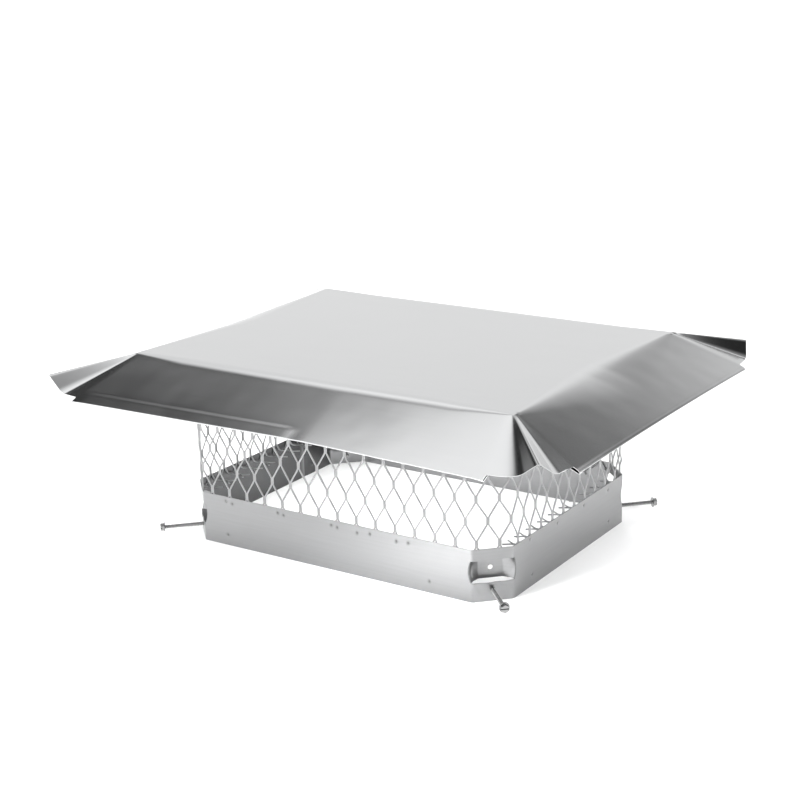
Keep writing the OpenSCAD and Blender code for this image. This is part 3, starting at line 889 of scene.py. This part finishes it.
# Points round a screw, sections in a pitch, and half width of a thread's ridge in pitches
THREAD_AROUND, THREAD_SECTIONS, RIDGE_SHARE = 24, 6, 0.3
WASHER_AROUND, HEX_AROUND = 40, 72
# Reach of the hexagon's rounded corners and of its slot's ends, in shares of half its width
HEX_CORNER, SLOT_END = 1.13, 1.1
HEX_EDGE = 0.4
# How far the hexagon is sunk in the washer, and its upper halves in its lower part
HEX_SUNK, HALF_SUNK = 0.05, 0.02


def thread_radius(x, angle):
    """Radius of the shank at x, which is minus the depth below the head."""
    wave = (x / THREAD_PITCH - angle / (2 * math.pi)) % 1.0
    ridge = max(0.0, 1.0 - abs(wave - 0.5) / RIDGE_SHARE)
    r = SCREW_CORE_R + (SCREW_R - SCREW_CORE_R) * ridge
    tip = (SCREW_L + x) / TIP_L
    limit = TIP_R + (SCREW_R - TIP_R) * min(1.0, max(0.0, tip))
    return min(r, limit)


def add_shank(points, faces):
    """The threaded shank along X, up to the head at 0."""
    around = THREAD_AROUND
    steps = int(SCREW_L / THREAD_PITCH * THREAD_SECTIONS)
    for k in range(steps + 1):
        x = -SCREW_L + SCREW_L * k / steps
        for m in range(around):
            a = 2 * math.pi * m / around
            r = thread_radius(x, a)
            points.append((x, r * math.cos(a), r * math.sin(a)))
    for k in range(steps):
        for m in range(around):
            a, b = k * around + m, k * around + (m + 1) % around
            faces.append((a, a + around, b + around, b))
    faces.append(tuple(range(around)))
    faces.append(tuple(steps * around + m for m in reversed(range(around))))


def add_washer(points, faces):
    """The washer face as a turned profile."""
    profile = ((0.0, 1.5), (0.0, WASHER_R - 0.25), (0.25, WASHER_R), (WASHER_T - 0.2, WASHER_R),
               (WASHER_T, WASHER_R - 0.35), (WASHER_T, 1.5))
    at = len(points)
    for m in range(WASHER_AROUND):
        a = 2 * math.pi * m / WASHER_AROUND
        points.extend((x, r * math.cos(a), r * math.sin(a)) for x, r in profile)
    p = len(profile)
    for m in range(WASHER_AROUND):
        here, there = at + m * p, at + (m + 1) % WASHER_AROUND * p
        for k in range(p):
            after = (k + 1) % p
            faces.append((here + k, there + k, there + after, here + after))


def hexagon_outline(apothem, count):
    """Points round a hexagon with slightly rounded corners."""
    ring = []
    for m in range(count):
        a = 2 * math.pi * m / count
        local = (a + math.pi / 6) % (math.pi / 3) - math.pi / 6
        flat = apothem / math.cos(local)
        ring.append((a, min(flat, apothem * HEX_CORNER)))
    return ring


def add_hexagon(points, faces):
    """The hexagon below the slot's floor, then its two halves beside the slot."""
    count, apothem = HEX_AROUND, HEX_AF / 2
    ring = hexagon_outline(apothem, count)
    slot_half, top = SLOT_W / 2, WASHER_T + HEX_H
    floor = top - SLOT_D
    at = len(points)
    for x in (WASHER_T - HEX_SUNK, floor):
        points.extend((x, r * math.cos(a), r * math.sin(a)) for a, r in ring)
    for m in range(count):
        a, b = at + m, at + (m + 1) % count
        faces.append((b, b + count, a + count, a))
    faces.append(tuple(at + m for m in range(count)))
    faces.append(tuple(at + count + m for m in reversed(range(count))))
    for sign in (1, -1):
        half = [(r * math.cos(a), r * math.sin(a)) for a, r in ring if r * math.sin(a) * sign > slot_half]
        # Run from one end of the slot's wall to the other
        half.sort(key=lambda p: math.atan2(p[1] * sign, p[0]))
        y_end = math.sqrt((apothem * SLOT_END) ** 2 - slot_half**2)
        half = [(y_end, slot_half * sign)] + half + [(-y_end, slot_half * sign)]
        at = len(points)
        for x, shrink in ((floor - HALF_SUNK, 0.0), (top - HEX_EDGE, 0.0), (top, HEX_EDGE)):
            scale = 1 - shrink / apothem
            points.extend((x, y * scale, sign * max(abs(z) * scale, slot_half)) for y, z in half)
        w = len(half)
        for level in range(2):
            for m in range(w):
                a, b = at + level * w + m, at + level * w + (m + 1) % w
                quad = (a, a + w, b + w, b)
                faces.append(quad if sign < 0 else quad[::-1])
        cap = tuple(at + 2 * w + m for m in range(w))
        faces.append(cap if sign > 0 else cap[::-1])
        bottom = tuple(at + m for m in range(w))
        faces.append(bottom[::-1] if sign > 0 else bottom)


def build_screw(corner, name):
    """One screw, square through the flat of its corner."""
    points, faces = [], []
    add_shank(points, faces)
    add_washer(points, faces)
    add_hexagon(points, faces)
    sx, sy = corner
    turn = math.atan2(sy, sx)
    middle = np.array([sx * (BAND_L - CORNER_LEG) / 2, sy * (BAND_W - CORNER_LEG) / 2, SCREW_Z])
    spots = np.array(points, float)
    spots[:, 0] += SCREW_OUT
    c, s = math.cos(turn), math.sin(turn)
    x = spots[:, 0] * c - spots[:, 1] * s
    y = spots[:, 0] * s + spots[:, 1] * c
    spots = np.stack([x, y, spots[:, 2]], -1) + middle
    return make_piece("screw_" + name, spots, faces, SCREW_STEEL, "clamp_screw_" + name,
                      "screw_" + name, crease=30.0)


build_lid()
build_mesh()
build_band()
for screw_name, screw_corner in (("front_right", (1, -1)), ("back_right", (1, 1)),
                                 ("back_left", (-1, 1)), ("front_left", (-1, -1))):
    build_screw(screw_corner, screw_name)


# Floor, light and camera

# Half width of the floor, and how far it lies below the part, both in metres
FLOOR_HALF, FLOOR_DOWN = 40.0, 0.0003


def build_floor():
    size = FLOOR_HALF
    mesh = bpy.data.meshes.new("floor")
    mesh.from_pydata([(-size, -size, 0), (size, -size, 0), (size, size, 0), (-size, size, 0)], [],
                     [(0, 1, 2, 3)])
    material = bpy.data.materials.new("floor")
    material.use_nodes = True
    shader = material.node_tree.nodes["Principled BSDF"]
    shader.inputs["Base Color"].default_value = (0.94, 0.94, 0.94, 1)
    shader.inputs["Roughness"].default_value = 0.9
    shader.inputs["Specular IOR Level"].default_value = 0.1
    mesh.materials.append(material)
    floor = bpy.data.objects.new("floor", mesh)
    floor.location.z = -FLOOR_DOWN
    bpy.context.scene.collection.objects.link(floor)


# The studio: direction, cosines where a light starts and is full, strength. A strength below zero
# is a dark card.
STUDIO_LIGHTS = (
    ((0.50, -0.50, 0.70), 0.015, 0.15, 1.28),
    ((0.50, -0.50, 0.70), 0.35, 0.90, -0.55),
    ((-0.47, 0.56, 0.68), 0.975, 0.995, 0.40),
    ((-0.85, 0.20, 0.50), 0.93, 0.985, -0.15),
    ((-0.88, 0.23, 0.42), 0.96, 0.99, -0.22),
    ((-0.24, 0.88, 0.40), 0.975, 0.997, 0.10),
    ((0.70, -0.65, 0.28), 0.30, 0.75, -0.75),
    ((0.47, 0.385, 0.80), 0.86, 0.94, -1.05),
    ((0.42, 0.80, 0.42), 0.955, 0.99, -0.60),
)
# Strength of the room all round, and the least that dark cards can leave
ROOM_LEVEL, LEAST_LEVEL = 0.10, 0.02
# The room's pale lower walls: heights where they end and are full, strength
WALL_TOP, WALL_FULL, WALL_LEVEL = 0.60, 0.33, 0.91
# A pale panel behind the cap, taller than the walls
PANEL_AT, PANEL_START, PANEL_FULL = (-0.60, 0.72, 0.30), 0.865, 0.95


def build_world():
    world = bpy.data.worlds.new("studio")
    bpy.context.scene.world = world
    world.use_nodes = True
    tree = world.node_tree
    link = tree.links.new
    coords = node_of(tree, "ShaderNodeTexCoord")

    def ramp(source, start, full, strength):
        step = node_of(tree, "ShaderNodeMapRange", interpolation_type="SMOOTHSTEP")
        step.inputs["From Min"].default_value = min(start, full)
        step.inputs["From Max"].default_value = max(start, full)
        step.inputs["To Min"].default_value = 0.0 if start < full else strength
        step.inputs["To Max"].default_value = strength if start < full else 0.0
        link(source, step.inputs["Value"])
        return step.outputs["Result"]

    parts = node_of(tree, "ShaderNodeSeparateXYZ")
    link(coords.outputs["Generated"], parts.inputs["Vector"])

    def card(direction, start, full, strength):
        dot = node_of(tree, "ShaderNodeVectorMath", operation="DOT_PRODUCT")
        dot.inputs[1].default_value = Vector(direction).normalized()
        link(coords.outputs["Generated"], dot.inputs[0])
        return ramp(dot.outputs["Value"], start, full, strength)

    backdrop = node_of(tree, "ShaderNodeMath", operation="MAXIMUM")
    link(ramp(parts.outputs["Z"], WALL_TOP, WALL_FULL, WALL_LEVEL), backdrop.inputs[0])
    link(card(PANEL_AT, PANEL_START, PANEL_FULL, WALL_LEVEL), backdrop.inputs[1])
    levels = [backdrop.outputs["Value"]] + [card(*light) for light in STUDIO_LIGHTS]
    total = None
    for level in levels:
        add = node_of(tree, "ShaderNodeMath", operation="ADD")
        link(level, add.inputs[0])
        if total is None:
            add.inputs[1].default_value = ROOM_LEVEL
        else:
            link(total, add.inputs[1])
        total = add.outputs["Value"]
    lowest = node_of(tree, "ShaderNodeMath", operation="MAXIMUM")
    lowest.inputs[1].default_value = LEAST_LEVEL
    link(total, lowest.inputs[0])
    background = tree.nodes["Background"]
    background.inputs["Color"].default_value = (1, 1, 1, 1)
    link(lowest.outputs["Value"], background.inputs["Strength"])


# Soft lamps that light the floor: place in metres, what it faces, size and power
FLOOR_LAMPS = (
    ((-0.62, -2.0, 0.62), (0.0, 0.0, 0.0), 0.5, 50.0),
    ((0.10, -0.285, 0.14), (0.10, -0.25, 0.0), 0.12, 0.52),
    ((-1.2, 1.6, 0.8), (0.0, 0.0, 0.0), 0.5, 20.0),
    ((0.62, 0.10, 0.17), (0.0, 0.0, 0.02), 0.16, 1.8),
    ((-0.62, -0.05, 0.17), (0.0, 0.0, 0.02), 0.16, 0.8),
    ((-0.03, 0.02, 0.19), (-0.03, 0.02, 0.0), 0.24, 0.65),
)
# A wide light from straight above, which keeps the far floor white
SKY_ENERGY, SKY_ANGLE = 1.5, 2.4


def add_lamp(name, data):
    """A lamp that shows neither in the picture nor in the steel."""
    lamp = bpy.data.objects.new(name, data)
    lamp.visible_glossy = False
    lamp.visible_camera = False
    bpy.context.scene.collection.objects.link(lamp)
    return lamp


def build_lamps():
    for number, (place, target, size, watts) in enumerate(FLOOR_LAMPS):
        name = "floor_lamp_%d" % number
        data = bpy.data.lights.new(name, "AREA")
        data.shape = "DISK"
        data.size = size
        data.energy = watts
        away = (Vector(place) - Vector(target)).normalized()
        turn = away.to_track_quat("Z", "Y").to_matrix().to_4x4()
        add_lamp(name, data).matrix_world = Matrix.Translation(place) @ turn
    data = bpy.data.lights.new("floor_sky", "SUN")
    data.energy = SKY_ENERGY
    data.angle = SKY_ANGLE
    add_lamp("floor_sky", data)


# The photograph's camera, solved from the cap's straight edges
CAMERA_AZIMUTH, CAMERA_ELEVATION, CAMERA_ROLL = 33.13, 16.78, 1.31
CAMERA_FOCAL_PX = 1627.49
CAMERA_OFFSET = (-14.4, -136.92, 1801.17)
CAMERA_CENTRE_PX = (424.53, 399.81)
IMAGE_PX = 800


def build_camera():
    a, e, r = (math.radians(v) for v in (CAMERA_AZIMUTH, CAMERA_ELEVATION, CAMERA_ROLL))
    back = Vector((math.sin(a) * math.cos(e), -math.cos(a) * math.cos(e), math.sin(e)))
    right = Vector((0, 0, 1)).cross(back).normalized()
    up = back.cross(right)
    right, up = (right * math.cos(r) - up * math.sin(r), right * math.sin(r) + up * math.cos(r))
    cx, cy, cz = CAMERA_OFFSET
    place = -(right * cx + up * cy - back * cz) * MM
    data = bpy.data.cameras.new("camera")
    data.sensor_fit = "HORIZONTAL"
    data.lens = CAMERA_FOCAL_PX / IMAGE_PX * data.sensor_width
    data.shift_x = -(CAMERA_CENTRE_PX[0] - IMAGE_PX / 2) / IMAGE_PX
    data.clip_end = 200.0
    camera = bpy.data.objects.new("camera", data)
    turn = Matrix((right, up, back)).transposed().to_4x4()
    camera.matrix_world = Matrix.Translation(place) @ turn
    bpy.context.scene.collection.objects.link(camera)
    bpy.context.scene.camera = camera


build_floor()
build_world()
build_lamps()
build_camera()
bpy.context.scene.view_settings.view_transform = "Standard"
